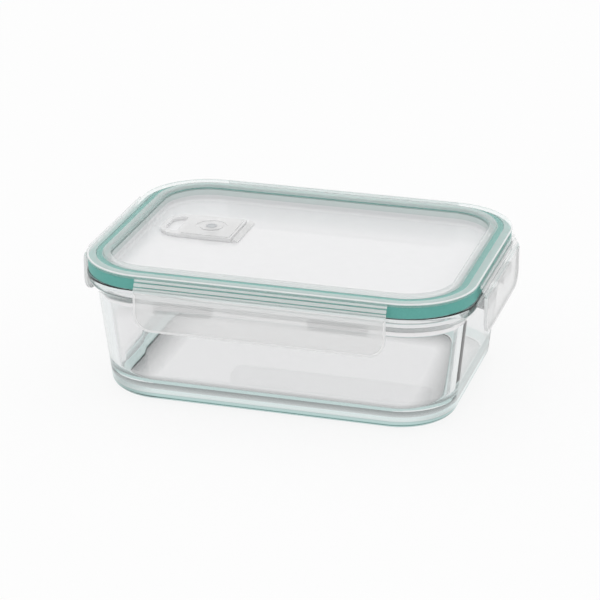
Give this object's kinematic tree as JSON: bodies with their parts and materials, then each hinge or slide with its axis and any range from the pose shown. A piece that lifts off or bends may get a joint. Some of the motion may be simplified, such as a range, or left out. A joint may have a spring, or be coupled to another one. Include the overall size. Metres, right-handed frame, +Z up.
{
  "type": "glass food box with locking lid",
  "caption": "Rectangular glass lunch and food storage box with a clear locking lid, soft seal, hinged locking flaps on every side and a lift-up steam vent in the lid.",
  "frame": {"origin": "centre of the base, on the table", "axes": "+X along the long side to the right, +Y to the back, +Z up"},
  "size_m": [0.2132, 0.161, 0.0735],
  "materials": {
    "clear_glass": "clear pressed glass",
    "clear_plastic": "translucent moulded plastic",
    "teal_silicone": "matte silicone",
    "clear_silicone": "satin silicone"
  },
  "bodies": {
    "dish": {"glass_dish": "clear_glass"},
    "lid": {"lid_panel": "clear_plastic", "seal_ring": "teal_silicone", "vent_hinge_root": "clear_plastic"},
    "front_strip": {"front_hinge_strip": "clear_plastic"},
    "front_flap": {"front_latch_flap": "clear_plastic"},
    "back_strip": {"back_hinge_strip": "clear_plastic"},
    "back_flap": {"back_latch_flap": "clear_plastic"},
    "left_strip": {"left_hinge_strip": "clear_plastic"},
    "left_flap": {"left_latch_flap": "clear_plastic"},
    "right_strip": {"right_hinge_strip": "clear_plastic"},
    "right_flap": {"right_latch_flap": "clear_plastic"},
    "vent": {"vent_flap": "clear_plastic", "vent_plug": "clear_silicone"}
  },
  "joints": [
    {"name": "lid_lift", "type": "slide", "parent": "dish", "child": "lid", "axis": [0, 0, 1], "range_m": [0, 0.014]},
    {"name": "front_strip_hinge", "type": "hinge", "parent": "lid", "child": "front_strip", "pos_m": [0, -0.0766, 0.0712], "axis": [-1, 0, 0], "range_deg": [0, 70]},
    {"name": "front_flap_hinge", "type": "hinge", "parent": "front_strip", "child": "front_flap", "pos_m": [0, -0.07941, 0.06568], "axis": [-1, 0, 0], "range_deg": [0, 100]},
    {"name": "back_strip_hinge", "type": "hinge", "parent": "lid", "child": "back_strip", "pos_m": [0, 0.0766, 0.0712], "axis": [1, 0, 0], "range_deg": [0, 70]},
    {"name": "back_flap_hinge", "type": "hinge", "parent": "back_strip", "child": "back_flap", "pos_m": [0, 0.07941, 0.06568], "axis": [1, 0, 0], "range_deg": [0, 100]},
    {"name": "left_strip_hinge", "type": "hinge", "parent": "lid", "child": "left_strip", "pos_m": [-0.1027, 0, 0.0712], "axis": [0, 1, 0], "range_deg": [0, 70]},
    {"name": "left_flap_hinge", "type": "hinge", "parent": "left_strip", "child": "left_flap", "pos_m": [-0.10551, 0, 0.06568], "axis": [0, 1, 0], "range_deg": [0, 100]},
    {"name": "right_strip_hinge", "type": "hinge", "parent": "lid", "child": "right_strip", "pos_m": [0.1027, 0, 0.0712], "axis": [0, -1, 0], "range_deg": [0, 70]},
    {"name": "right_flap_hinge", "type": "hinge", "parent": "right_strip", "child": "right_flap", "pos_m": [0.10551, 0, 0.06568], "axis": [0, -1, 0], "range_deg": [0, 100]},
    {"name": "vent_hinge", "type": "hinge", "parent": "lid", "child": "vent", "pos_m": [-0.0405, 0.0184, 0.0652], "axis": [0, 1, 0], "range_deg": [0, 90]}
  ],
  "couplings": [
    {"joint": "front_strip_hinge", "follows": "lid_lift", "rad_per_m": 87},
    {"joint": "back_strip_hinge", "follows": "lid_lift", "rad_per_m": 87},
    {"joint": "left_strip_hinge", "follows": "lid_lift", "rad_per_m": 87},
    {"joint": "right_strip_hinge", "follows": "lid_lift", "rad_per_m": 87}
  ]
}
